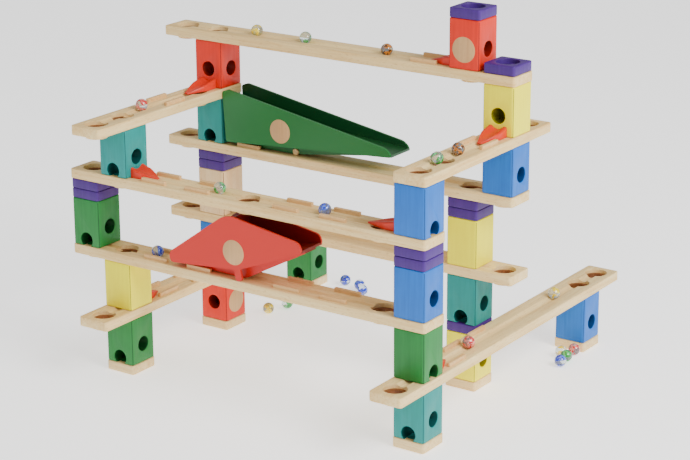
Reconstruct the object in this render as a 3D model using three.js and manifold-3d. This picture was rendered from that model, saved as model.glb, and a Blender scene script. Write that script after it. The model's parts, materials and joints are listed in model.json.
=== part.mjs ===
// Wooden marble run: towers of square blocks, grooved rails between them, two tipping see-saws and glass marbles.
// Millimetres, +Z up. X runs along the front rails, Y runs back, and the origin is under the middle of the run.
import * as THREE from 'three';
import { mergeVertices } from 'three/addons/utils/BufferGeometryUtils.js';
import Module from 'manifold-3d';

const wasm = await Module();
wasm.setup();

// Driving dimensions
const PITCH = 50; // between neighbouring holes of a rail, and so between neighbouring towers
const LONG_SPAN = 10 * PITCH; // first hole to last hole of a long rail
const SHORT_SPAN = 5 * PITCH;
const BLOCK = 44; // side of a block
const COURSE = 63.5; // height of one course of blocks
const SLAB = 13; // height of one course of rail, spacer or base
const GAP = 0.3; // left between pieces that stand on each other
const CORNER = 3; // radius of a block's upright edges
const SOCKET = { radius: 15, depth: 5.5 };
const BOSS = { radius: 14.2, height: 4.7 }; // sits in the socket below it
const BORE = 10; // radius of every marble passage
const HOLE_Z = 25; // middle of a side hole above the block's underside
const ARCH_Z = 8; // middle of an outlet arch's round top
const ARCH_FLOOR = 1.5;
const SIDES = 10; // facets of a round hole or boss
const RAIL = { width: 46, overhang: 23, corner: 4 };
const GROOVE = { radius: 8.4, depth: 3.3 };
const STRIP = { length: 38, width: 5, height: 5, offset: 15.5 };
const TONGUE = { width: 26, high: 13, low: 3, wayHigh: 9, wayLow: 1.5, shoulder: 0.4 };
const MARBLE = 8; // radius
const MARBLE_LIFT = 5; // middle of a marble above the rail it rolls on
const WALL = 3; // of the moulded see-saws
const SEESAW_HALF = 23; // half of a see-saw's width
const KEEL_HALF = 11; // half of the keel's width, between the guard strips
const RED = { halfLength: 105, peak: 83, rimHigh: 43, rimLow: 30, bellyZ: 16, tab: 5, tilt: 13.3 };
const GREEN = {
  pivotX: -313.5, left: -107.5, right: 158.5, leftHigh: 78, rightHigh: 20, bottom: 8, floorLeft: 46, floorRight: 11,
  tilt: 4, dowel: 4.5,
};

const COLOURS = {
  wood: { color: 0xe6c99a, roughness: 0.6 },
  red: { color: 0xcf2f22, roughness: 0.45 },
  green: { color: 0x3f8a48, roughness: 0.45 },
  teal: { color: 0x4aa59b, roughness: 0.45 },
  blue: { color: 0x3f78c8, roughness: 0.45 },
  yellow: { color: 0xe3d83a, roughness: 0.45 },
  purple: { color: 0x57408f, roughness: 0.45 },
  redPlastic: { color: 0xd23a28, roughness: 0.3 },
  greenPlastic: { color: 0x2c7a40, roughness: 0.3 },
  glass: { color: 0x9fc8dd, roughness: 0.05 },
};

// Where the towers stand and how high each storey of rails lies
const X = { farLeft: -LONG_SPAN, left: PITCH - LONG_SPAN, nextRight: -PITCH, right: 0 };
const Y = { front: 0, middle: SHORT_SPAN - PITCH, back: LONG_SPAN - 2 * PITCH };
const storeyTop = [
  SLAB, // top of the bases
  2 * SLAB + COURSE,
  3 * SLAB + 2 * COURSE,
  6 * SLAB + 3 * COURSE, // two spacers stand under this one
  7 * SLAB + 4 * COURSE,
  8 * SLAB + 5 * COURSE,
];
const CENTRE = { x: X.farLeft / 2, y: Y.back / 2 };

const run = new THREE.Group();
run.position.set(-CENTRE.x, -CENTRE.y, 0);

// Closed solids from three.js geometries, and back
function toSolid(geometry) {
  geometry.deleteAttribute('normal');
  geometry.deleteAttribute('uv');
  const merged = mergeVertices(geometry, 1e-4);
  return new wasm.Manifold(new wasm.Mesh({
    numProp: 3,
    vertProperties: merged.attributes.position.array,
    triVerts: new Uint32Array(merged.index.array),
  }));
}

function toGeometry(solid) {
  const mesh = solid.getMesh();
  const geometry = new THREE.BufferGeometry();
  geometry.setAttribute('position', new THREE.BufferAttribute(new Float32Array(mesh.vertProperties), 3));
  geometry.setIndex(new THREE.BufferAttribute(new Uint32Array(mesh.triVerts), 1));
  geometry.computeVertexNormals();
  return geometry;
}

function addPiece(name, solid, colour, position, turn = 0, tilt = 0) {
  const mesh = new THREE.Mesh(toGeometry(solid), new THREE.MeshStandardMaterial({ ...COLOURS[colour], metalness: 0 }));
  mesh.name = name;
  mesh.position.set(...position);
  mesh.rotation.set(0, tilt, turn);
  run.add(mesh);
  return mesh;
}

const unite = (solids) => solids.reduce((whole, next) => whole.add(next));
const cut = (body, tools) => tools.reduce((left, tool) => left.subtract(tool), body);

function boxSolid(sizeX, sizeY, z0, z1, x = 0, y = 0) {
  return toSolid(new THREE.BoxGeometry(sizeX, sizeY, z1 - z0).translate(x, y, (z0 + z1) / 2));
}

function upright(radius, z0, z1, x = 0, y = 0, sides = SIDES) {
  const cylinder = new THREE.CylinderGeometry(radius, radius, z1 - z0, sides);
  return toSolid(cylinder.rotateX(Math.PI / 2).translate(x, y, (z0 + z1) / 2));
}

// A round bar from the origin's axis outwards along +X, turned about Z to face any side
function sideways(radius, x0, x1, z, turn) {
  const cylinder = new THREE.CylinderGeometry(radius, radius, x1 - x0, SIDES);
  return toSolid(cylinder.rotateZ(Math.PI / 2).translate((x0 + x1) / 2, 0, z).rotateZ(turn));
}

function roundedSlab(sizeX, sizeY, radius, z0, z1) {
  const shape = new THREE.Shape();
  const x = sizeX / 2 - radius;
  const y = sizeY / 2 - radius;
  const quarter = Math.PI / 2;
  [[x, y], [-x, y], [-x, -y], [x, -y]].forEach(([cx, cy], i) => {
    shape.absarc(cx, cy, radius, i * quarter, (i + 1) * quarter, false);
  });
  const slab = new THREE.ExtrudeGeometry(shape, { depth: z1 - z0, bevelEnabled: false, curveSegments: 1 });
  return toSolid(slab.translate(0, 0, z0));
}

// An outline in the XZ plane, given as [x, z] points, extruded from y0 to y1
function sidePlate(points, y0, y1) {
  const shape = new THREE.Shape(points.map(([x, z]) => new THREE.Vector2(x, z)));
  const plate = new THREE.ExtrudeGeometry(shape, { depth: y1 - y0, bevelEnabled: false });
  return toSolid(plate.rotateX(Math.PI / 2).translate(0, y1, 0));
}

// Blocks, spacers and bases
const FACING = { right: 0, back: Math.PI / 2, left: Math.PI, front: -Math.PI / 2 };

const socketAt = (top, x = 0, y = 0) => upright(SOCKET.radius, top - SOCKET.depth, top + 1, x, y);

// The passage out of one side of a block: a round hole half-way up, or an arch at the foot
function outlet(kind, side) {
  if (kind === 'hole') return sideways(BORE, 0, BLOCK, HOLE_Z, FACING[side]);
  const round = sideways(BORE, 0, BLOCK, ARCH_Z, FACING[side]);
  const below = boxSolid(3 * BLOCK, 3 * BLOCK, -BLOCK, ARCH_FLOOR);
  return round.subtract(below);
}

// A block takes a marble from above and lets it out at the sides in exits; one with no exits lets it fall through
function blockSolid(exits) {
  const kinds = Object.values(exits);
  const lowest = kinds.includes('arch') ? ARCH_FLOOR : HOLE_Z - BORE + 0.5;
  const floor = kinds.length ? lowest : -BOSS.height - 1;
  const top = COURSE - GAP;
  const body = roundedSlab(BLOCK, BLOCK, CORNER, 0, top).add(upright(BOSS.radius, -BOSS.height, 1));
  const ways = Object.entries(exits).map(([side, kind]) => outlet(kind, side));
  return cut(body, [socketAt(top), upright(BORE, floor, top + 1), ...ways]);
}

function addBlock(name, colour, x, y, z, exits = {}) {
  addPiece(name, blockSolid(exits), colour, [x, y, z]);
}

// count spacers on each other, joined, with a boss under them and a socket on top
function spacerSolid(count) {
  const top = count * SLAB - GAP;
  const body = roundedSlab(BLOCK, BLOCK, CORNER, 0, top).add(upright(BOSS.radius, -BOSS.height, 1));
  return cut(body, [socketAt(top), upright(BORE, -BOSS.height - 1, top + 1)]);
}

function addSpacer(name, x, y, z, count = 1) {
  addPiece(name, spacerSolid(count), 'purple', [x, y, z]);
}

function addBase(name, x, y) {
  const top = SLAB - GAP;
  addPiece(name, cut(roundedSlab(BLOCK + 1, BLOCK + 1, CORNER, 0, top), [socketAt(top)]), 'wood', [x, y, 0]);
}

// Rails: holes are distances along the rail from its first hole; strips are [distance from the middle, side]
function railSolid(span, holes, strips) {
  const top = SLAB - GAP;
  const along = (distance) => distance - span / 2;
  const slab = roundedSlab(span + 2 * RAIL.overhang, RAIL.width, RAIL.corner, 0, top);
  const bosses = holes.map((hole) => upright(BOSS.radius, -BOSS.height, 1, along(hole)));
  const guards = strips.map(([distance, side]) => boxSolid(
    STRIP.length, STRIP.width, top - 1, top + STRIP.height, distance, side * STRIP.offset,
  ));
  const groove = new THREE.CylinderGeometry(GROOVE.radius, GROOVE.radius, span, 12, 1);
  const channel = toSolid(groove.rotateZ(Math.PI / 2).translate(0, 0, top + GROOVE.radius - GROOVE.depth));
  const sockets = holes.map((hole) => socketAt(top, along(hole)));
  const bores = holes.map((hole) => upright(BORE, -BOSS.height - 1, top + 1, along(hole)));
  return cut(unite([slab, ...bosses, ...guards]), [channel, ...sockets, ...bores]);
}

// The end holes come in pairs, one pitch apart
const endHoles = (span) => [0, PITCH, span - PITCH, span];
const bothSides = (distances) => distances.flatMap((distance) => [[distance, 1], [distance, -1]]);

// first is the place of the rail's first hole; alongY turns the rail to run back instead of to the right
function addRail(name, first, storey, alongY, span, strips, centreHole = false) {
  const holes = centreHole ? [...endHoles(span), span / 2] : endHoles(span);
  const solid = railSolid(span, holes, strips);
  const middle = alongY ? [first[0], first[1] + span / 2] : [first[0] + span / 2, first[1]];
  addPiece(name, solid, 'wood', [...middle, storeyTop[storey] - SLAB], alongY ? Math.PI / 2 : 0);
}

// A tongue lies against a block's outlet and narrows to a point over the groove, along +X before it is turned
function tongueSolid(length) {
  const { width, high, low, wayHigh, wayLow, shoulder } = TONGUE;
  const plan = new THREE.Shape([
    [0, -width / 2], [shoulder * length, -width / 2], [length, -2], [length, 2], [shoulder * length, width / 2],
    [0, width / 2],
  ].map(([x, y]) => new THREE.Vector2(x, y)));
  const solid = toSolid(new THREE.ExtrudeGeometry(plan, { depth: high, bevelEnabled: false }));
  const lowPart = new THREE.Shape([[-1, high], [length + 1, low - 1], [length + 1, 2 * high], [-1, 2 * high]]
    .map(([x, z]) => new THREE.Vector2(x, z)));
  const above = toSolid(new THREE.ExtrudeGeometry(lowPart, { depth: 2 * width, bevelEnabled: false })
    .rotateX(Math.PI / 2).translate(0, width, 0));
  const slide = new THREE.CylinderGeometry(MARBLE + 0.5, MARBLE + 0.5, 4 * length, 10);
  const slope = Math.atan2(wayHigh - wayLow, length);
  const way = toSolid(slide.rotateZ(Math.PI / 2).rotateY(slope).translate(0, 0, wayHigh + MARBLE + 0.5));
  return cut(solid, [above, way]);
}

function addTongue(name, x, y, storey, side, length) {
  const away = BLOCK / 2 + GAP;
  const turn = FACING[side];
  addPiece(name, tongueSolid(length), 'redPlastic',
    [x + away * Math.cos(turn), y + away * Math.sin(turn), storeyTop[storey]], turn);
}

// The red see-saw, level, about its fulcrum: a rhombus-sided trough with a dividing wall, a floor that falls to both
// ends, a keel that lies on the rail when it is tipped, and a rounded tab that it rocks on
function redSeesawSolid() {
  const { halfLength, peak, rimHigh, rimLow, bellyZ, tab } = RED;
  const outline = [
    [-halfLength, rimLow], [-tab, bellyZ], [tab, bellyZ], [halfLength, rimLow], [halfLength, rimHigh],
    [8, peak - 2], [0, peak], [-8, peak - 2], [-halfLength, rimHigh],
  ];
  const panels = [-1, 1].map((side) => {
    const y = side * (SEESAW_HALF - WALL / 2);
    return sidePlate(outline, y - WALL / 2, y + WALL / 2);
  });
  const floor = sidePlate([
    [-halfLength, rimLow], [-tab, bellyZ], [tab, bellyZ], [halfLength, rimLow], [halfLength, rimLow + WALL],
    [0, bellyZ + 2 * WALL + 8], [-halfLength, rimLow + WALL],
  ], -SEESAW_HALF + 1, SEESAW_HALF - 1);
  const divider = sidePlate([[-WALL, bellyZ + 2], [WALL, bellyZ + 2], [1.5, peak - 5], [-1.5, peak - 5]],
    -SEESAW_HALF + 1, SEESAW_HALF - 1);
  const keel = sidePlate([
    [-halfLength + 3, rimLow + 1], [-halfLength + 3, rimLow - 2.5], [-tab, 1.4], [tab, 1.4],
    [halfLength - 3, rimLow - 2.5], [halfLength - 3, rimLow + 1],
  ], -KEEL_HALF, KEEL_HALF);
  const rocker = new THREE.CylinderGeometry(tab, tab, 2 * SEESAW_HALF, 16);
  const foot = toSolid(rocker.translate(0, 0, tab)).add(boxSolid(2 * tab, 2 * SEESAW_HALF, tab, bellyZ + 1));
  return unite([...panels, floor, divider, keel, foot]);
}

// The green see-saw, level, about the middle of its dowel: a long wedge trough, tall at the left where the marbles
// drop in and low at the spout, with a keel between the guard strips and a notch for the dowel
function greenSeesawSolid() {
  const { left, right, leftHigh, rightHigh, bottom, floorLeft, floorRight, dowel } = GREEN;
  const outline = [
    [left, bottom], [right, bottom], [right - 2, rightHigh - 6], [right - 9, rightHigh], [left + 12, leftHigh + 2],
    [left + 3, leftHigh + 1], [left, leftHigh - 3],
  ];
  const panels = [-1, 1].map((side) => {
    const y = side * (SEESAW_HALF - WALL / 2);
    return sidePlate(outline, y - WALL / 2, y + WALL / 2);
  });
  const floor = sidePlate([[left, floorLeft - WALL], [right, bottom], [right, floorRight], [left, floorLeft]],
    -SEESAW_HALF + 1, SEESAW_HALF - 1);
  const endWall = sidePlate([[left, bottom], [left + WALL, bottom], [left + WALL, floorLeft + 8], [left, floorLeft + 8]],
    -SEESAW_HALF + 1, SEESAW_HALF - 1);
  const slope = Math.tan(THREE.MathUtils.degToRad(GREEN.tilt));
  const under = (x) => Math.abs(x) * slope - dowel + 1.2;
  const keel = sidePlate([
    [left, bottom + 1], [left, under(left)], [0, under(0)], [right - 12, under(right - 12)], [right - 12, bottom + 1.5],
    [0, 30], [left, 40],
  ], -KEEL_HALF, KEEL_HALF);
  const notch = new THREE.CylinderGeometry(dowel + GAP, dowel + GAP, 4 * SEESAW_HALF, 16);
  const slot = boxSolid(2 * (dowel + GAP), 4 * SEESAW_HALF, -4 * dowel, 0);
  return cut(unite([...panels, floor, endWall, keel]), [toSolid(notch), slot]);
}

function addSeesaws() {
  const tipRed = -THREE.MathUtils.degToRad(RED.tilt);
  const red = new THREE.Vector3(0, 0, -RED.tab).applyAxisAngle(new THREE.Vector3(0, 1, 0), tipRed);
  const pivotRed = [X.farLeft / 2, Y.front, storeyTop[2] + RED.tab];
  addPiece('red_seesaw', redSeesawSolid(), 'redPlastic',
    [pivotRed[0] + red.x, pivotRed[1], pivotRed[2] + red.z], 0, tipRed);
  const pivotGreen = [GREEN.pivotX, Y.middle, storeyTop[3] + GREEN.dowel];
  const tipGreen = -THREE.MathUtils.degToRad(GREEN.tilt);
  addPiece('green_seesaw', greenSeesawSolid(), 'greenPlastic', pivotGreen, 0, tipGreen);
  const dowel = toSolid(new THREE.CylinderGeometry(GREEN.dowel, GREEN.dowel, 26, 16));
  addPiece('green_seesaw_dowel', dowel, 'wood', pivotGreen);
}

function addMarble(name, x, y, storey) {
  const ball = new THREE.Mesh(toGeometry(toSolid(new THREE.SphereGeometry(MARBLE, 9, 6))),
    new THREE.MeshStandardMaterial({ ...COLOURS.glass, metalness: 0 }));
  ball.name = name;
  ball.position.set(x, y, storeyTop[storey] - GAP + MARBLE_LIFT + 0.3);
  run.add(ball);
}

// Placing everything

const towers = {
  front_right: [X.right, Y.front],
  front_left: [X.left, Y.front],
  mid_left: [X.left, Y.middle],
  mid_right: [X.nextRight, Y.middle],
  back_right: [X.right, Y.back],
  back_left: [X.left, Y.back],
};
for (const [name, [x, y]] of Object.entries(towers)) addBase('base_' + name, x, y);

// name, colour, x, y, storey that it stands on, exits
const blocks = [
  ['teal_block_front_right_1', 'teal', X.right, Y.front, 0, { front: 'arch', right: 'hole' }],
  ['green_block_front_right_2', 'green', X.right, Y.front, 1, { right: 'arch', back: 'hole' }],
  ['blue_block_front_right_3', 'blue', X.right, Y.front, 2, { right: 'hole' }],
  ['blue_block_front_right_4', 'blue', X.right, Y.front, 3, { right: 'arch', left: 'hole' }],
  ['green_block_front_left_1', 'green', X.left, Y.front, 0, { front: 'arch', right: 'hole' }],
  ['yellow_block_front_left_2', 'yellow', X.left, Y.front, 1, { back: 'hole' }],
  ['teal_block_front_left_4', 'teal', X.left, Y.front, 3, { front: 'arch', right: 'hole' }],
  ['green_block_far_left_3', 'green', X.farLeft, Y.front, 2, { front: 'arch', right: 'hole' }],
  ['red_block_mid_left_1', 'red', X.left, Y.middle, 0, { front: 'hole' }],
  ['blue_block_mid_left_2', 'blue', X.left, Y.middle, 1, { right: 'hole' }],
  ['plain_wood_block_mid_left_3', 'wood', X.left, Y.middle, 2, { right: 'arch' }],
  ['teal_block_mid_left_4', 'teal', X.left, Y.middle, 3, { front: 'arch' }],
  ['red_block_mid_left_5', 'red', X.left, Y.middle, 4, { front: 'hole', right: 'hole' }],
  ['yellow_block_mid_right_1', 'yellow', X.nextRight, Y.middle, 0, { right: 'hole' }],
  ['teal_block_mid_right_2', 'teal', X.nextRight, Y.middle, 1, { front: 'arch', right: 'hole' }],
  ['yellow_block_mid_right_3', 'yellow', X.nextRight, Y.middle, 2, {}],
  ['blue_block_back_stack_4', 'blue', X.right, Y.middle, 3, { right: 'hole' }],
  ['yellow_block_back_stack_5', 'yellow', X.right, Y.middle, 4, { front: 'hole' }],
  ['red_block_top', 'red', X.nextRight, Y.middle, 5, { right: 'hole', left: 'hole' }],
  ['blue_block_back_right_1', 'blue', X.right, Y.back, 0, { right: 'hole' }],
  ['green_block_back_left_1', 'green', X.left, Y.back, 0, { front: 'arch', right: 'hole' }],
];
for (const [name, colour, x, y, storey, exits] of blocks) addBlock(name, colour, x, y, storeyTop[storey], exits);

const pairZ = storeyTop[2] + COURSE;
addSpacer('spacer_pair_front_right', X.right, Y.front, pairZ, 2);
addSpacer('spacer_pair_far_left', X.farLeft, Y.front, pairZ, 2);
addSpacer('spacer_pair_mid_left', X.left, Y.middle, pairZ, 2);
addSpacer('spacer_pair_mid_right', X.nextRight, Y.middle, pairZ, 2);
addSpacer('spacer_mid_right_low', X.nextRight, Y.middle, SLAB + COURSE);
addSpacer('spacer_back_stack_top', X.right, Y.middle, storeyTop[5]);
addSpacer('spacer_top', X.nextRight, Y.middle, storeyTop[5] + COURSE);

const outerStrips = bothSides([-138, 138]);
const allStrips = bothSides([-138, -68, 68, 138]);
addRail('rail_top', [X.farLeft, Y.middle], 5, false, LONG_SPAN, bothSides([138]));
addRail('rail_front_upper', [X.farLeft, Y.front], 3, false, LONG_SPAN, allStrips, true);
addRail('rail_front_lower', [X.farLeft, Y.front], 2, false, LONG_SPAN, allStrips);
addRail('rail_mid_upper', [X.farLeft, Y.middle], 3, false, LONG_SPAN, outerStrips);
addRail('rail_mid_lower', [X.farLeft, Y.middle], 2, false, LONG_SPAN, []);
addRail('rail_left_lower', [X.left, -PITCH], 1, true, LONG_SPAN, allStrips, true);
addRail('rail_right_lower', [X.right, -PITCH], 1, true, LONG_SPAN, [[-138, -1], [-100, 1], [-40, 1]]);
addRail('rail_left_upper', [X.left, -PITCH], 4, true, SHORT_SPAN, bothSides([12]));
addRail('rail_right_upper', [X.right, 0], 4, true, SHORT_SPAN, bothSides([6]));

addTongue('tongue_top', X.nextRight, Y.middle, 5, 'left', 38);
addTongue('tongue_left_upper', X.left, Y.middle, 4, 'front', 48);
addTongue('tongue_right_upper', X.right, Y.middle, 4, 'front', 44);
addTongue('tongue_front_upper_left', X.left, Y.front, 3, 'right', 34);
addTongue('tongue_front_upper_right', X.right, Y.front, 3, 'left', 48);
addTongue('tongue_left_lower', X.left, Y.front, 1, 'back', 34);
addTongue('tongue_right_lower', X.right, Y.front, 1, 'back', 36);

addSeesaws();

addMarble('marble_top_left', -383, Y.middle, 5);
addMarble('marble_top_middle', -304, Y.middle, 5);
addMarble('marble_top_right', -177, Y.middle, 5);
addMarble('marble_front_upper_left', -294, Y.front, 3);
addMarble('marble_front_upper_right', -134, Y.front, 3);
addMarble('marble_front_lower', -398, Y.front, 2);
addMarble('marble_left_upper', X.left, 39, 4);

export default run;
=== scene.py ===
import json
from math import pi, radians

import bpy
import numpy as np
from mathutils import Matrix, Vector

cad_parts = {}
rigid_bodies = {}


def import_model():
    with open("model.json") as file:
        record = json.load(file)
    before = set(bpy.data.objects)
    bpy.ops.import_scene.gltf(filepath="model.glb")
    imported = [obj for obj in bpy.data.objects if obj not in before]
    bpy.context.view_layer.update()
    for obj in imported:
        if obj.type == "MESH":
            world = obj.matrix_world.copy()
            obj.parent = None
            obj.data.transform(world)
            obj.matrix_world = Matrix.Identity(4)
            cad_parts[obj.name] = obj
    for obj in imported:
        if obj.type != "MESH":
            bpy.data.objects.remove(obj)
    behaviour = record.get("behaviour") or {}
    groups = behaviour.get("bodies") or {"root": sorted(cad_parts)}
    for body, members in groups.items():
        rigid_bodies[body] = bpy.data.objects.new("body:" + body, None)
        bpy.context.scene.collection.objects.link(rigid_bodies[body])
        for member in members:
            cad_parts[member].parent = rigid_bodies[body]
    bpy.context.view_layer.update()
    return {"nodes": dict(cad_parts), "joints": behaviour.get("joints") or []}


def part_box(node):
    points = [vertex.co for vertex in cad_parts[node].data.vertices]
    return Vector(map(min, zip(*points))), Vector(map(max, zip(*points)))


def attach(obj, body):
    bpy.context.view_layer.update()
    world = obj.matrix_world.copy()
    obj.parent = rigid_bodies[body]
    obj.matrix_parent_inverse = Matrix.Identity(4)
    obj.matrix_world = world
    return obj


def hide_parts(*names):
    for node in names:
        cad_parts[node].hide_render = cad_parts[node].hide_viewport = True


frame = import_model()
metre = 1000.0  # the script's own unit is the millimetre
print("frame loaded")

# closed surfaces from numpy grids


def loft(rows):
    # joins a stack of closed loops, loops by points by xyz, with quads and closes both ends with one face
    loops, count, _ = rows.shape
    i, j = np.meshgrid(np.arange(loops - 1), np.arange(count), indexing="ij")
    after = (j + 1) % count
    quads = np.stack([i * count + j, i * count + after, (i + 1) * count + after, (i + 1) * count + j], -1)
    last = (loops - 1) * count
    caps = [list(range(count))[::-1], list(range(last, last + count))]
    return rows.reshape(-1, 3), quads.reshape(-1, 4).tolist() + caps


def ring(radius, z, count=44):
    # a circle of that radius at height z
    angle = np.arange(count) * 2 * pi / count
    return np.stack([radius * np.cos(angle), radius * np.sin(angle), np.full(count, z)], -1)


def lathe(profile, count=44):
    # each (radius, height) pair of the profile turned once about the upright axis
    return loft(np.stack([ring(radius, z, count) for radius, z in profile]))


def edgeProfile(low, high, edge, steps=3):
    # insets and heights of a side wall whose lower and upper edges are quarter circles
    angle = np.linspace(0, pi / 2, steps + 1)
    inset = edge * (1 - np.sin(angle))
    rise = edge * (1 - np.cos(angle))
    return np.concatenate([inset, inset[::-1]]), np.concatenate([low + rise, (high - rise)[::-1]])


def slab(sizeX, sizeY, low, high, corner, edge, steps=5):
    # a rounded rectangle carried up a wall with rounded edges: corner centre plus (corner - inset) outwards
    angle = np.linspace(0, pi / 2, steps + 1)
    turns = np.concatenate([angle + quarter * pi / 2 for quarter in range(4)])
    outward = np.stack([np.cos(turns), np.sin(turns)], -1)
    signs = np.repeat([[1, 1], [-1, 1], [-1, -1], [1, -1]], steps + 1, axis=0)
    centres = signs * (np.array([sizeX, sizeY]) / 2 - corner)
    inset, height = edgeProfile(low, high, edge)
    plan = centres[None] + (corner - inset)[:, None, None] * outward[None]
    heights = np.broadcast_to(height[:, None, None], plan.shape[:2] + (1,))
    return loft(np.concatenate([plan, heights], -1))


def roundOutline(points, radius, steps=5):
    # each corner of a polygon becomes a parabola that touches both its sides at that distance
    points = np.array(points, float)
    before, after = np.roll(points, 1, 0) - points, np.roll(points, -1, 0) - points
    reach = np.broadcast_to(np.asarray(radius, float), len(points))[:, None]
    start = points + before / np.linalg.norm(before, axis=1, keepdims=True) * reach
    stop = points + after / np.linalg.norm(after, axis=1, keepdims=True) * reach
    t = np.linspace(0, 1, steps)[None, :, None]
    arc = (1 - t) ** 2 * start[:, None] + 2 * t * (1 - t) * points[:, None] + t ** 2 * stop[:, None]
    return arc.reshape(-1, 2)


def plate(outline, front, back):
    # an outline in the upright plane, anticlockwise from the front, carried from the back to the front
    outline = np.asarray(outline, float)
    rows = [np.stack([outline[:, 0], np.full(len(outline), y), outline[:, 1]], -1) for y in (back, front)]
    return loft(np.stack(rows))


def moved(solid, x=0, y=0, z=0):
    return solid[0] + np.array([x, y, z]), solid[1]


def facing(solid, side):
    # turns a solid so that its upright axis points out of that side
    x, y, z = solid[0].T
    turned = {"right": (z, x, y), "back": (y, z, x), "left": (-z, -x, y), "front": (x, -z, y)}[side]
    return np.stack(turned, -1), solid[1]


# meshes, cuts and pieces


def meshOf(solid, name="shape"):
    mesh = bpy.data.meshes.new(name)
    mesh.from_pydata((solid[0] / metre).tolist(), [], solid[1])
    return mesh


def combined(solid, tools, operation):
    # one exact boolean of a mesh or solid with several others
    body = bpy.data.objects.new("body", solid if isinstance(solid, bpy.types.Mesh) else meshOf(solid))
    bench = bpy.data.collections.new("bench")
    bpy.context.scene.collection.children.link(bench)
    bpy.context.scene.collection.objects.link(body)
    for tool in tools:
        bench.objects.link(bpy.data.objects.new("tool", meshOf(tool)))
    cut = body.modifiers.new("cut", "BOOLEAN")
    cut.operation, cut.solver = operation, "EXACT"
    cut.operand_type, cut.collection = "COLLECTION", bench
    graph = bpy.context.evaluated_depsgraph_get()
    graph.update()
    result = bpy.data.meshes.new_from_object(body.evaluated_get(graph))
    for item in [*bench.objects, body]:
        bpy.data.objects.remove(item)
    bpy.data.collections.remove(bench)
    result.materials.clear()
    return result


def smoothMesh(mesh, angle=32):
    mesh.shade_smooth()
    mesh.set_sharp_from_angle(angle=radians(angle))
    return mesh


def addPiece(name, mesh, material, body, replaced=(), at=(0, 0, 0)):
    # at is in millimetres and goes into the mesh, so that the object itself stays at the origin
    mesh = mesh.copy()
    mesh.transform(Matrix.Translation(Vector(at) / metre))
    for finish in material if isinstance(material, tuple) else (material,):
        mesh.materials.append(finish)
    piece = bpy.data.objects.new(name, mesh)
    bpy.context.scene.collection.objects.link(piece)
    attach(piece, body)
    if replaced:
        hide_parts(*replaced)
    return piece


def faceCentres(mesh):
    centres = np.empty(len(mesh.polygons) * 3)
    mesh.polygons.foreach_get("center", centres)
    return centres.reshape(-1, 3) * metre


def finishFaces(mesh, chosen, number):
    # gives the chosen faces another of the piece's finishes
    numbers = np.empty(len(mesh.polygons), int)
    mesh.polygons.foreach_get("material_index", numbers)
    numbers[chosen] = number
    mesh.polygons.foreach_set("material_index", numbers)
    return mesh


def boredFaces(mesh, half, low, high):
    # the faces inside a square block's walls, between two heights
    x, y, z = faceCentres(mesh).T
    return (np.abs(x) < half) & (np.abs(y) < half) & (z > low) & (z < high)


def cadBox(node):
    low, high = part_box(node)
    return np.array(low) * metre, np.array(high) * metre


# materials


class Wire:
    # a socket that Python's operators can be used on

    def __init__(self, shader, socket):
        self.shader, self.socket = shader, socket

    def maths(self, operation, *values):
        return self.shader.add("ShaderNodeMath", {"operation": operation}, dict(enumerate(values)))

    def __add__(self, other):
        return self.maths("ADD", self, other)

    def __mul__(self, other):
        return self.maths("MULTIPLY", self, other)

    def __gt__(self, other):
        return self.maths("GREATER_THAN", self, other)

    __radd__, __rmul__ = __add__, __mul__


class Shader:
    def __init__(self, name):
        self.material = bpy.data.materials.new(name)
        self.material.use_nodes = True
        self.tree = self.material.node_tree
        self.tree.nodes.clear()
        self.output = self.tree.nodes.new("ShaderNodeOutputMaterial")

    def add(self, kind, settings=None, sockets=None, output=0):
        # settings first, then the sockets by name or number, linked from a Wire or given a plain value
        node = self.tree.nodes.new(kind)
        for key, value in (settings or {}).items():
            if key == "stops":
                ramp = node.color_ramp.elements
                while len(ramp) < len(value):
                    ramp.new(1)
                for stop, (place, colour) in zip(ramp, value):
                    stop.position, stop.color = place, (*colour, 1)
            else:
                setattr(node, key, value)
        for key, value in (sockets or {}).items():
            if isinstance(value, Wire):
                self.tree.links.new(value.socket, node.inputs[key])
            else:
                node.inputs[key].default_value = value
        return Wire(self, node.outputs[output])

    def place(self, scale=(1, 1, 1), turn=(0, 0, 0)):
        # Object coordinates in metres, turned and stretched
        coordinates = self.add("ShaderNodeTexCoord", output=3)
        return self.add("ShaderNodeMapping", {}, {0: coordinates, "Rotation": turn, "Scale": scale})

    def noise(self, vector, scale, detail=3.0, roughness=0.55, distortion=0.0):
        return self.add("ShaderNodeTexNoise", {}, {
            "Vector": vector, "Scale": scale, "Detail": detail, "Roughness": roughness, "Distortion": distortion})

    def mix(self, factor, first, second):
        return self.add("ShaderNodeMix", {"data_type": "RGBA"}, {0: factor, 6: first, 7: second}, output=2)

    def ramp(self, value, low, high):
        # black up to the low value, white from the high one
        return self.add("ShaderNodeValToRGB", {"stops": [(low, (0, 0, 0)), (high, (1, 1, 1))]}, {0: value})

    def bump(self, height, distance, strength=0.5):
        return self.add("ShaderNodeBump", {}, {"Height": height, "Distance": distance, "Strength": strength})

    def surface(self, **sockets):
        named = {key.replace("_", " "): value for key, value in sockets.items()}
        return self.add("ShaderNodeBsdfPrincipled", {}, named)

    def finish(self, surface):
        self.tree.links.new(surface.socket, self.output.inputs["Surface"])
        return self.material


def rgb(colour, share=1.0):
    # a hex colour as linear light, darkened to that share
    parts = np.array([int(colour[i:i + 2], 16) for i in (0, 2, 4)]) / 255
    linear = np.where(parts <= 0.04045, parts / 12.92, ((parts + 0.055) / 1.055) ** 2.4)
    return (*(linear * share).tolist(), 1.0)


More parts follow.
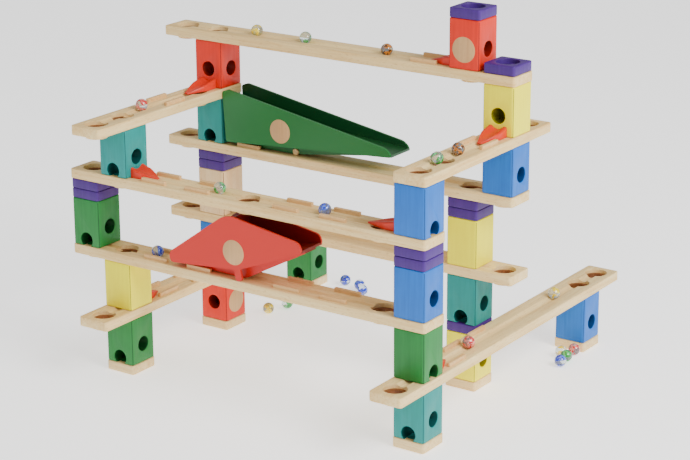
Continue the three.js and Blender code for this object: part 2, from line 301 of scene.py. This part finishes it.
def bareWood(name, along, pale="F8DDA0", tan="DDB066", fleck="B07A38"):
    # growth lines and small flecks, both drawn out along the grain
    shader = Shader(name)
    stretch = {"x": (0.05, 1, 1), "y": (1, 0.05, 1), "z": (1, 1, 0.05)}[along]
    place = shader.place(scale=stretch)
    lines = shader.noise(place, 260, 4, 0.6, 0.4)
    broad = shader.noise(place, 38, 2, 0.5, 0.8)
    grain = shader.ramp(lines * 0.55 + broad * 0.45, 0.34, 0.7)
    dashes = shader.noise(shader.place(scale=tuple(0.18 if part < 1 else 1 for part in stretch)), 900, 1, 0.4)
    flecks = shader.ramp(dashes, 0.62, 0.72)
    colour = shader.mix(grain, rgb(pale), rgb(tan))
    colour = shader.mix(flecks * 0.35, colour, rgb(fleck))
    normal = shader.bump(lines + flecks * 0.5, 0.00025, 0.35)
    return shader.finish(shader.surface(Base_Color=colour, Roughness=grain * 0.12 + 0.5, Normal=normal))


def stainedWood(name, colour, dark, share=1.0):
    # lacquered colour that lets faint upright grain through, darkened to that share; the darkened copies are
    # painted shade for the faces inside bores
    shader = Shader(name)
    lines = shader.noise(shader.place(scale=(1, 1, 0.06)), 300, 4, 0.6, 0.3)
    cloud = shader.noise(shader.place(), 45, 2, 0.5)
    grain = shader.ramp(lines * 0.7 + cloud * 0.3, 0.35, 0.75)
    normal = shader.bump(lines, 0.0002, 0.3)
    tint = shader.mix(grain * 0.6, rgb(colour, share), rgb(dark, share))
    return shader.finish(shader.surface(Base_Color=tint, Roughness=lines * 0.15 + 0.42, Normal=normal,
                                        Specular_IOR_Level=0.3, Coat_Weight=0.05, Coat_Roughness=0.3))


def mouldedPlastic(name, colour):
    # glossy with fine mottling
    shader = Shader(name)
    mottle = shader.noise(shader.place(), 900, 2, 0.5)
    cloud = shader.noise(shader.place(), 30, 2, 0.5)
    tint = shader.mix(cloud * 0.35, rgb(colour), rgb(colour, 0.82))
    normal = shader.bump(mottle, 0.0001, 0.25)
    return shader.finish(shader.surface(Base_Color=tint, Roughness=mottle * 0.12 + 0.3, Normal=normal,
                                        Specular_IOR_Level=0.35))


def swirlGlass(name, colour, second, seed):
    # clear glass with a ribbon of colour wound through it
    shader = Shader(name)
    place = shader.place(turn=(seed * 1.3, seed * 2.1, seed * 0.7))
    warp = shader.noise(place, 70, 1, 0.4, 1.6)
    ribbon = shader.ramp(warp, 0.46, 0.5)
    streak = shader.noise(place, 190, 2, 0.5, 0.8)
    tint = shader.mix(streak > 0.52, rgb(colour), rgb(second))
    body = shader.surface(Base_Color=tint, Roughness=0.08, Coat_Weight=1.0)
    clear = shader.surface(Base_Color=rgb("E8F4F6"), Roughness=0.02, IOR=1.5, Transmission_Weight=0.85)
    return shader.finish(shader.add("ShaderNodeMixShader", {}, {0: ribbon, 1: clear, 2: body}))


paint = {
    "teal": ("0C8C88", "087470"),
    "green": ("1E8038", "14622A"),
    "blue": ("0E6CC8", "0A54A6"),
    "yellow": ("FAF000", "EADC00"),
    "red": ("E02806", "C01E04"),
    "purple": ("46207A", "34165C"),
}
boreShadeShare = 0.3  # painted shade: how much of its colour a bored face keeps, standing in for the shade inside the holes
# each colour's second finish is a darkened copy: painted shade for the faces inside the bores
stained = {name: (stainedWood(name + "Stain", *pair), stainedWood(name + "Bore", *pair, share=boreShadeShare))
           for name, pair in paint.items()}
# the plain block's second finish is dark wood: painted shade inside its bores
stained["plain"] = (bareWood("plainBlockWood", "z", "EFD0A0", "DFB57E"),
                    bareWood("plainBore", "z", "8A5A30", "6A4222"))
# dark wood for the faces inside the rails' holes: painted shade
boreShadedWood = bareWood("boreShadedWood", "z", "8A4E1E", "5E3212")
stripWood = bareWood("stripWood", "x", "ECC488", "D8A460")
railWood = {"x": bareWood("railWoodAcross", "x"), "y": bareWood("railWoodBack", "y")}
baseWood = bareWood("baseWood", "x", "F6DCA4", "DDB472")
discWood = bareWood("discWood", "z", "CFA672", "B98D5A")
tongueRed = mouldedPlastic("tongueRed", "DC3014")
print("materials made")

# blocks, spacers and bases

block = {"side": 44, "course": 63.2, "corner": 3.2, "edge": 1.6, "bossRadius": 14.2, "bossHeight": 4.7,
         "socketRadius": 15, "socketDepth": 5.5, "bore": 10, "holeHeight": 25, "archHeight": 8, "lip": 0.8}
blockExits = {  # outlets of each block by side; a disc is a wooden plug let into a closed hole
    "teal_block_front_right_1": {"front": "arch", "right": "hole"},
    "green_block_front_right_2": {"right": "arch", "back": "hole"},
    "blue_block_front_right_3": {"right": "hole"},
    "blue_block_front_right_4": {"right": "arch", "left": "hole"},
    "green_block_front_left_1": {"front": "arch", "right": "hole"},
    "yellow_block_front_left_2": {"back": "hole"},
    "teal_block_front_left_4": {"front": "arch", "right": "hole"},
    "green_block_far_left_3": {"front": "arch", "right": "hole"},
    "red_block_mid_left_1": {"front": "hole", "right": "disc"},
    "blue_block_mid_left_2": {"right": "hole"},
    "plain_wood_block_mid_left_3": {"right": "arch"},
    "teal_block_mid_left_4": {"front": "arch"},
    "red_block_mid_left_5": {"front": "hole", "right": "hole"},
    "yellow_block_mid_right_1": {"right": "hole"},
    "teal_block_mid_right_2": {"front": "arch", "right": "hole"},
    "yellow_block_mid_right_3": {},
    "blue_block_back_stack_4": {"right": "hole"},
    "yellow_block_back_stack_5": {"front": "hole"},
    "red_block_top": {"right": "hole", "left": "hole", "front": "disc"},
    "blue_block_back_right_1": {"right": "hole"},
    "green_block_back_left_1": {"front": "arch", "right": "hole"},
}


def flared(radius, start, face, lip):
    # a round cutter that opens out in a quarter circle where it leaves the face
    angle = np.linspace(0, pi / 2, 4)
    profile = [(radius, start), *zip(radius + lip * (1 - np.cos(angle)), face - lip + lip * np.sin(angle))]
    return [*profile, (radius + lip, face + 2)]


def boss(x=0):
    # a round peg with a softened lower rim
    height, radius = block["bossHeight"], block["bossRadius"]
    rim = [(radius - 0.8, -height), (radius - 0.2, -height + 0.2), (radius, -height + 0.8), (radius, 1)]
    return moved(lathe(rim), x)


def socket(top, x=0):
    return moved(lathe(flared(block["socketRadius"], top - block["socketDepth"], top, 0.6)), x)


def bore(low, high, x=0):
    return moved(lathe([(block["bore"], low), (block["bore"], high)]), x)


plug = {"profile": [(16, 0), (16.2, 0.2), (16.2, 0.45), (15.9, 0.62)], "sunk": 0.3}  # a disc let into a hole


def plugSolid(side):
    return facing(lathe(plug["profile"]), side)


def outlet(kind, side):
    rows, faces = lathe(flared(block["bore"], 0, block["side"] / 2, block["lip"]))
    rows, faces = facing((rows, faces), side)
    if kind == "arch":
        rows = rows + np.array([0, 0, block["archHeight"]])
        return np.stack([rows[:, 0], rows[:, 1], np.maximum(rows[:, 2], -1)], -1), faces
    return rows + np.array([0, 0, block["holeHeight"]]), faces


def blockMesh(exits):
    open_ = {side: kind for side, kind in exits.items() if kind != "disc"}
    top = block["course"]
    body = combined(slab(block["side"], block["side"], 0, top, block["corner"], block["edge"]), [boss()], "UNION")
    floor = -10
    if open_:
        floor = 0.6 if "arch" in open_.values() else block["holeHeight"] - block["bore"] + 0.5
    tools = [socket(top), bore(floor, top + 1), *[outlet(kind, side) for side, kind in open_.items()]]
    mesh = smoothMesh(combined(body, tools, "DIFFERENCE"))
    # faces inside the bore and outlets take the darkened copy: painted shade
    boreShadeFaces = boredFaces(mesh, block["side"] / 2 - block["lip"], 0.3, top - block["socketDepth"] - 0.3)
    return finishFaces(mesh, boreShadeFaces, 1)


blockShapes = {}
for name, exits in blockExits.items():
    key = tuple(sorted(exits.items()))
    if key not in blockShapes:
        blockShapes[key] = blockMesh(exits)
    low, high = cadBox(name)
    place = ((low[0] + high[0]) / 2, (low[1] + high[1]) / 2, low[2] + block["bossHeight"])
    colour = "plain" if name.startswith("plain") else name.split("_")[0]
    slotName = "pale_wood" if colour == "plain" else colour + "_paint"
    addPiece(name + "_wood", blockShapes[key], stained[colour], "run", [name], place)
    for side in [side for side, kind in exits.items() if kind == "disc"]:
        out = {"right": (1, 0), "front": (0, -1)}[side]
        reach = block["side"] / 2 - plug["sunk"]
        at = (place[0] + out[0] * reach, place[1] + out[1] * reach, place[2] + block["holeHeight"])
        addPiece(name + "_disc", smoothMesh(meshOf(plugSolid(side))), discWood, "run", at=at)
print("blocks done")

spacer = {"height": 13, "gap": 0.3, "edge": 1.3}


def spacerMesh(count):
    top = count * spacer["height"] - spacer["gap"]
    slabs = [slab(block["side"], block["side"], i * spacer["height"], (i + 1) * spacer["height"] - spacer["gap"],
                  block["corner"], spacer["edge"]) for i in range(count)]
    core = lathe([(17, 0.5), (17, top - 0.5)])
    body = combined(slabs[0], [*slabs[1:], core, boss()], "UNION")
    mesh = smoothMesh(combined(body, [socket(top), bore(-8, top + 1)], "DIFFERENCE"))
    # the faces inside the bore take the darkened copy: painted shade
    return finishFaces(mesh, boredFaces(mesh, block["bore"] + 0.3, 0.3, top - block["socketDepth"] - 0.3), 1)


spacerShapes = {count: spacerMesh(count) for count in (1, 2)}
for name in [name for name in frame["nodes"] if name.startswith("spacer")]:
    low, high = cadBox(name)
    place = ((low[0] + high[0]) / 2, (low[1] + high[1]) / 2, low[2] + block["bossHeight"])
    shape = spacerShapes[2 if "pair" in name else 1]
    addPiece(name + "_wood", shape, stained["purple"], "run", [name], place)

base = {"side": 45, "height": 12.7, "corner": 3.2, "edge": 1.2}
baseSlab = slab(base["side"], base["side"], 0, base["height"], base["corner"], base["edge"])
baseShape = smoothMesh(combined(baseSlab, [socket(base["height"])], "DIFFERENCE"))
for name in [name for name in frame["nodes"] if name.startswith("base")]:
    low, high = cadBox(name)
    addPiece(name + "_wood", baseShape, baseWood, "run", [name],
             ((low[0] + high[0]) / 2, (low[1] + high[1]) / 2, 0))
print("spacers and bases done")

# rails

rail = {"width": 46, "thick": 12.7, "corner": 4, "edge": 1.1, "pitch": 50, "overhang": 23,
        "grooveRadius": 8.4, "grooveDepth": 3.3}
strip = {"length": 38, "width": 5, "height": 5, "offset": 15.5}
allFour = [(place, side) for place in (-138, -68, 68, 138) for side in (-1, 1)]
railStrips = {  # (distance from the middle, side) of each guard strip
    "rail_top": [(138, 1), (138, -1)],
    "rail_front_upper": allFour,
    "rail_front_lower": allFour,
    "rail_mid_upper": [(place, side) for place in (-138, 138) for side in (-1, 1)],
    "rail_mid_lower": [],
    "rail_left_lower": allFour,
    "rail_right_lower": [(-138, -1), (-100, 1), (-40, 1)],
    "rail_left_upper": [(12, 1), (12, -1)],
    "rail_right_upper": [(6, 1), (6, -1)],
}
centreHole = ("rail_front_upper", "rail_left_lower")


def railMesh(length, strips, middleHole):
    top = rail["thick"]
    end = length / 2 - rail["overhang"]
    holes = [-end, -end + rail["pitch"], end - rail["pitch"], end] + ([0] if middleHole else [])
    guards = [moved(slab(strip["length"], strip["width"], top - 2, top + strip["height"], 1.2, 0.7),
                    along, side * strip["offset"]) for along, side in strips]
    body = slab(length, rail["width"], 0, top, rail["corner"], rail["edge"])
    body = combined(body, [*guards, *[boss(x) for x in holes]], "UNION")
    channel = facing(lathe([(rail["grooveRadius"], -end), (rail["grooveRadius"], end)], 72), "right")
    tools = [moved(channel, 0, 0, top + rail["grooveRadius"] - rail["grooveDepth"])]
    tools += [socket(top, x) for x in holes]
    tools += [bore(-8, top + 1, x) for x in holes]
    mesh = smoothMesh(combined(body, tools, "DIFFERENCE"))
    x, y, z = faceCentres(mesh).T
    # faces near a hole's axis take the dark wood, painted shade inside the holes; faces above the top take the
    # strip wood
    reach = np.min(np.hypot(x[:, None] - np.array(holes), y[:, None]), 1)
    finishFaces(mesh, (reach < block["bore"] + 0.3) & (z < top - 2) & (z > 0.3), 1)
    return finishFaces(mesh, z > top + 0.3, 2)


for name, strips in railStrips.items():
    low, high = cadBox(name)
    size, middle = high - low, (high + low) / 2
    alongY = size[1] > size[0]
    shape = railMesh(max(size[:2]), strips, name in centreHole)
    if alongY:
        shape.transform(Matrix.Rotation(pi / 2, 4, "Z"))
    material = railWood["y" if alongY else "x"]
    place = (middle[0], middle[1], low[2] + block["bossHeight"])
    addPiece(name + "_wood", shape, (material, boreShadedWood, stripWood), "run", [name], place)
print("rails done")

# tongues

tongue = {"high": 12.8, "low": 2.6, "width": 26, "tip": 5, "shoulder": 0.36, "dish": 4.0}
tongueSides = {
    "tongue_top": "left", "tongue_left_upper": "front", "tongue_right_upper": "front",
    "tongue_front_upper_left": "right", "tongue_front_upper_right": "left",
    "tongue_left_lower": "back", "tongue_right_lower": "back",
}


def tongueMesh(length):
    # sections across a ramp: flat below, rounded shoulders, dished on top, narrowing to a blunt tip
    u = np.linspace(0, 1, 28)[:, None]
    narrow = np.clip((u - tongue["shoulder"]) / (1 - tongue["shoulder"]), 0, 1)
    half = (tongue["width"] * (1 - narrow ** 1.15) + tongue["tip"] * narrow ** 1.15) / 2
    high = tongue["high"] + (tongue["low"] - tongue["high"]) * u ** 0.9
    across = np.linspace(-1, 1, 25)[None, :]
    dish = tongue["dish"] * (1 - 0.72 * u) * np.clip(1 - (across * half / 8.5) ** 2, 0, 1)
    shoulder = np.clip((np.abs(across) - 0.86) / 0.14, 0, 1) ** 2 * 1.2
    topZ = high - dish - shoulder
    x = np.broadcast_to(u * length, topZ.shape)
    upper = np.stack([x, across * half, topZ], -1)
    foot = np.stack([x[:, :2], np.concatenate([half, -half], 1), np.zeros((len(u), 2))], -1)
    return smoothMesh(meshOf(loft(np.concatenate([upper, foot], 1))), 40)


def tongueTurn(side):
    return {"right": 0, "back": pi / 2, "left": pi, "front": -pi / 2}[side]


for name, side in tongueSides.items():
    low, high = cadBox(name)
    size, middle = high - low, (high + low) / 2
    length = size[0] if side in ("left", "right") else size[1]
    shape = tongueMesh(length)
    shape.transform(Matrix.Rotation(tongueTurn(side), 4, "Z"))
    out = np.array({"right": (1, 0, 0), "back": (0, 1, 0), "left": (-1, 0, 0), "front": (0, -1, 0)}[side])
    place = middle - out * length / 2
    addPiece(name + "_ramp", shape, tongueRed, "run", [name], (place[0], place[1], low[2]))
print("tongues done")

# see-saws


def jointAt(name):
    joint = next(joint for joint in frame["joints"] if joint["name"] == name)
    return np.array(joint["pos_m"]) * metre


def tipped(mesh, degreesUp, pivot):
    # right end up by that angle about the pivot
    mesh.transform(Matrix.Rotation(-radians(degreesUp), 4, "Y"))
    mesh.transform(Matrix.Translation(Vector(pivot) / metre))
    return mesh


def troughShadeFaces(mesh, sizes):
    # faces between the side walls that aren't undersides or the keel's own sides; they take the darker plastic,
    # painted shade inside the trough
    normal = np.empty(len(mesh.polygons) * 3)
    mesh.polygons.foreach_get("normal", normal)
    normal = normal.reshape(-1, 3)
    across = np.abs(faceCentres(mesh)[:, 1])
    onKeel = (np.abs(across - sizes["keel"]) < 0.5) & (np.abs(normal[:, 1]) > 0.9)
    return (across < sizes["halfWidth"] - sizes["wall"] + 0.5) & (normal[:, 2] > -0.3) & ~onKeel


def withBevel(piece, width):
    bevel = piece.modifiers.new("softEdges", "BEVEL")
    bevel.width, bevel.segments, bevel.limit_method, bevel.angle_limit = width / metre, 2, "ANGLE", radians(35)
    return piece


redSeesaw = {"half": 105, "peak": 83, "rimHigh": 43, "rimLow": 30, "belly": 16, "tab": 5, "tilt": 13.3,
             "wall": 3, "halfWidth": 23, "keel": 11}


def redSeesawMesh():
    r = redSeesaw
    half, tab, wall, wide = r["half"], r["tab"], r["wall"], r["halfWidth"]
    outline = [(-half, r["rimLow"]), (-tab, r["belly"] - 1), (-tab, 0), (tab, 0), (tab, r["belly"] - 1),
               (half, r["rimLow"]), (half, r["rimHigh"]), (7, r["peak"]), (-7, r["peak"]), (-half, r["rimHigh"])]
    rounding = [5, 2, 4.5, 4.5, 2, 5, 7, 6, 6, 7]
    side = roundOutline(outline, rounding)
    parts = [plate(side, -wide, -wide + wall), plate(side, wide - wall, wide)]
    parts.append(plate([(-half + 1, r["rimLow"]), (-tab, r["belly"]), (tab, r["belly"]), (half - 1, r["rimLow"]),
                        (half - 1, r["rimLow"] + 3), (0, r["belly"] + 14), (-half + 1, r["rimLow"] + 3)],
                       -wide + 1, wide - 1))
    parts.append(plate([(-3, r["belly"] + 2), (3, r["belly"] + 2), (1.8, r["peak"] - 4), (-1.8, r["peak"] - 4)],
                       -wide + 1, wide - 1))
    parts.append(plate([(-half + 3, r["rimLow"] - 2.5), (-tab, 1.4), (tab, 1.4), (half - 3, r["rimLow"] - 2.5),
                        (half - 3, r["rimLow"] + 1), (-half + 3, r["rimLow"] + 1)], -r["keel"], r["keel"]))
    mesh = combined(moved(parts[0], 0, 0, -tab), [moved(part, 0, 0, -tab) for part in parts[1:]], "UNION")
    return finishFaces(smoothMesh(mesh, 35), troughShadeFaces(mesh, r), 1)


redPivot = jointAt("red_seesaw_rock")
# the second, darker plastic is painted shade inside the trough
redPlastic = (mouldedPlastic("seesawRed", "CC1A08"), mouldedPlastic("troughShadeRed", "7A0E0A"))
redShape = tipped(redSeesawMesh(), redSeesaw["tilt"], redPivot)
softEdge = 0.7
withBevel(addPiece("red_seesaw_trough", redShape, redPlastic, "red_seesaw_body", ["red_seesaw"]),
          softEdge)

greenSeesaw = {"left": -107.5, "right": 158.5, "leftHigh": 78, "rightHigh": 20, "bottom": 8, "floorLeft": 46,
               "floorRight": 11, "tilt": 4, "dowel": 4.5, "wall": 3, "halfWidth": 23, "keel": 11}


def greenSeesawMesh():
    g = greenSeesaw
    left, right, wide, wall = g["left"], g["right"], g["halfWidth"], g["wall"]
    outline = [(left, g["bottom"]), (right, g["bottom"]), (right - 2, g["rightHigh"] - 6),
               (right - 9, g["rightHigh"]), (left + 10, g["leftHigh"] + 2), (left, g["leftHigh"] - 1)]
    side = roundOutline(outline, [3, 3, 3, 4, 3, 3])
    parts = [plate(side, -wide, -wide + wall), plate(side, wide - wall, wide)]
    parts.append(plate([(left, g["floorLeft"] - wall), (right, g["bottom"]), (right, g["floorRight"]),
                        (left, g["floorLeft"])], -wide + 1, wide - 1))
    parts.append(plate([(left, g["bottom"]), (left + wall, g["bottom"]), (left + wall, g["floorLeft"] + 8),
                        (left, g["floorLeft"] + 8)], -wide + 1, wide - 1))
    rise = np.tan(radians(g["tilt"]))
    low = 1.2 - g["dowel"]
    parts.append(plate([(left, low - left * rise), (0, low), (right - 12, low + (right - 12) * rise),
                        (right - 12, g["bottom"] + 1.5), (0, 30), (left, 40)], -g["keel"], g["keel"]))
    notch = facing(lathe([(g["dowel"] + 0.3, -40), (g["dowel"] + 0.3, 40)]), "back")
    reach = g["dowel"] + 0.3
    slot = plate([(-reach, -20), (reach, -20), (reach, 0), (-reach, 0)], -40, 40)
    mesh = combined(combined(parts[0], parts[1:], "UNION"), [notch, slot], "DIFFERENCE")
    return finishFaces(smoothMesh(mesh, 35), troughShadeFaces(mesh, g), 1)


greenPivot = jointAt("green_seesaw_rock")
# the second, darker plastic is painted shade inside the trough
greenPlastic = (mouldedPlastic("seesawGreen", "1A6E32"), mouldedPlastic("troughShadeGreen", "145028"))
greenShape = tipped(greenSeesawMesh(), greenSeesaw["tilt"], greenPivot)
withBevel(addPiece("green_seesaw_trough", greenShape, greenPlastic, "green_seesaw_body",
                   ["green_seesaw"]), softEdge)

discs = {  # each see-saw's pivot, its sizes, and where the plug lies from the pivot
    "red_seesaw": (redPivot, redSeesaw, (0, 37 - redSeesaw["tab"])),
    "green_seesaw": (greenPivot, greenSeesaw, (-15.5, 29)),
}
for name, (pivot, sizes, (x, z)) in discs.items():
    plugMesh = meshOf(moved(plugSolid("front"), x, -sizes["halfWidth"] + plug["sunk"], z))
    addPiece(name + "_disc", smoothMesh(tipped(plugMesh, sizes["tilt"], pivot)), discWood, name + "_body")

dowelShape = facing(lathe([(4.0, -13), (4.5, -12.5), (4.5, 12.5), (4.0, 13)]), "back")
addPiece("green_seesaw_dowel_wood", smoothMesh(meshOf(dowelShape)), baseWood, "run",
         ["green_seesaw_dowel"], tuple(greenPivot))
print("see-saws done")

# marbles

marbleRadius = 8
marbleTint = {
    "red": ("C80C18", "F08C80"), "yellow": ("E8C800", "F4E060"), "green": ("0C8A28", "58C070"),
    "amber": ("C07008", "4A2A0C"), "blue": ("0C2CC0", "5878E8"),
}
glass = {colour: swirlGlass(colour + "Swirl", *pair, seed=i + 1)
         for i, (colour, pair) in enumerate(marbleTint.items())}
railMarbles = {
    "marble_top_left": "yellow", "marble_top_middle": "green", "marble_top_right": "amber",
    "marble_front_upper_left": "green", "marble_front_upper_right": "blue", "marble_front_lower": "blue",
    "marble_left_upper": "red",
}
lyingMarbles = {  # colour, and where the middle is
    "lying_right_upper_1": ("green", (250, -161.5, 350)), "lying_right_upper_2": ("amber", (250, -114.3, 350)),
    "lying_right_lower_1": ("yellow", (250, 133, 94.5)), "lying_right_lower_2": ("red", (250, -84, 94.5)),
    "lying_floor_left_1": ("yellow", (-171, 65, 8)), "lying_floor_left_2": ("green", (-161, 97, 8)),
    "lying_floor_back_1": ("blue", (-148, 224, 8)), "lying_floor_back_2": ("blue", (-118.5, 218, 8)),
    "lying_floor_back_3": ("blue", (-103, 202, 8)),
    "lying_floor_right_1": ("yellow", (254.6, 148, 8)), "lying_floor_right_2": ("red", (265.6, 164, 8)),
    "lying_floor_right_3": ("green", (268, 138, 8)), "lying_floor_right_4": ("blue", (270, 118, 8)),
}


def marbleMesh():
    # a sphere: radius times the sine and cosine of the polar angle, closed by two small caps
    polar = np.linspace(0.04, pi - 0.04, 25)[::-1]
    mesh = meshOf(lathe(list(zip(marbleRadius * np.sin(polar), marbleRadius * np.cos(polar))), 40))
    return smoothMesh(mesh, 60)


marbleShape = marbleMesh()
for name, colour in railMarbles.items():
    low, high = cadBox(name)
    addPiece(name + "_glass", marbleShape, glass[colour], name + "_body", [name],
             tuple((low + high) / 2))
for name, (colour, place) in lyingMarbles.items():
    addPiece(name, marbleShape, glass[colour], "run", at=place)
print("marbles done")

# floor, light and camera

floorSize = {"half": 20000, "drop": 0.2}
floorCorners = np.array([(-1, -1), (1, -1), (1, 1), (-1, 1)]) * floorSize["half"]
floorMesh = meshOf((np.c_[floorCorners, np.full(4, -floorSize["drop"])], [[0, 1, 2, 3]]))
floor = bpy.data.objects.new("floor", floorMesh)
bpy.context.scene.collection.objects.link(floor)
floorShader = Shader("floorPaper")
floorMesh.materials.append(floorShader.finish(floorShader.surface(
    Base_Color=(0.92, 0.92, 0.92, 1), Roughness=0.9, Emission_Color=(1, 1, 1, 1), Emission_Strength=1.05)))

world = bpy.data.worlds.new("studio")
bpy.context.scene.world = world
world.use_nodes = True
sky = world.node_tree.nodes["Background"].inputs
sky["Color"].default_value, sky["Strength"].default_value = (1, 1, 1, 1), 0.55

lights = {  # place in metres, size of the square and power
    "keyLight": ((2.4, -0.4, 2.0), 1.4, 105),
    "fillLight": ((-1.4, -2.6, 1.8), 2.0, 12),
}
for name, (place, size, power) in lights.items():
    lamp = bpy.data.lights.new(name, "AREA")
    lamp.size, lamp.energy = size, power
    holder = bpy.data.objects.new(name, lamp)
    holder.location = place
    holder.rotation_euler = (Vector((0, 0, 0.2)) - Vector(place)).to_track_quat("-Z", "Y").to_euler()
    bpy.context.scene.collection.objects.link(holder)

view = {"place": (1.4746, -2.1233, 1.0112), "yaw": 34.65, "down": 16.715, "roll": -0.298,
        "lens": 107.0, "shiftY": -0.0652}
camera = bpy.data.cameras.new("camera")
camera.lens, camera.sensor_width, camera.shift_y = view["lens"], 36, view["shiftY"]
cameraHolder = bpy.data.objects.new("camera", camera)
cameraHolder.matrix_world = (
    Matrix.Translation(view["place"])
    @ Matrix.Rotation(radians(view["yaw"]), 4, "Z")
    @ Matrix.Rotation(radians(90 - view["down"]), 4, "X")
    @ Matrix.Rotation(radians(view["roll"]), 4, "Z")
)
bpy.context.scene.collection.objects.link(cameraHolder)
bpy.context.scene.camera = cameraHolder
print("studio done")
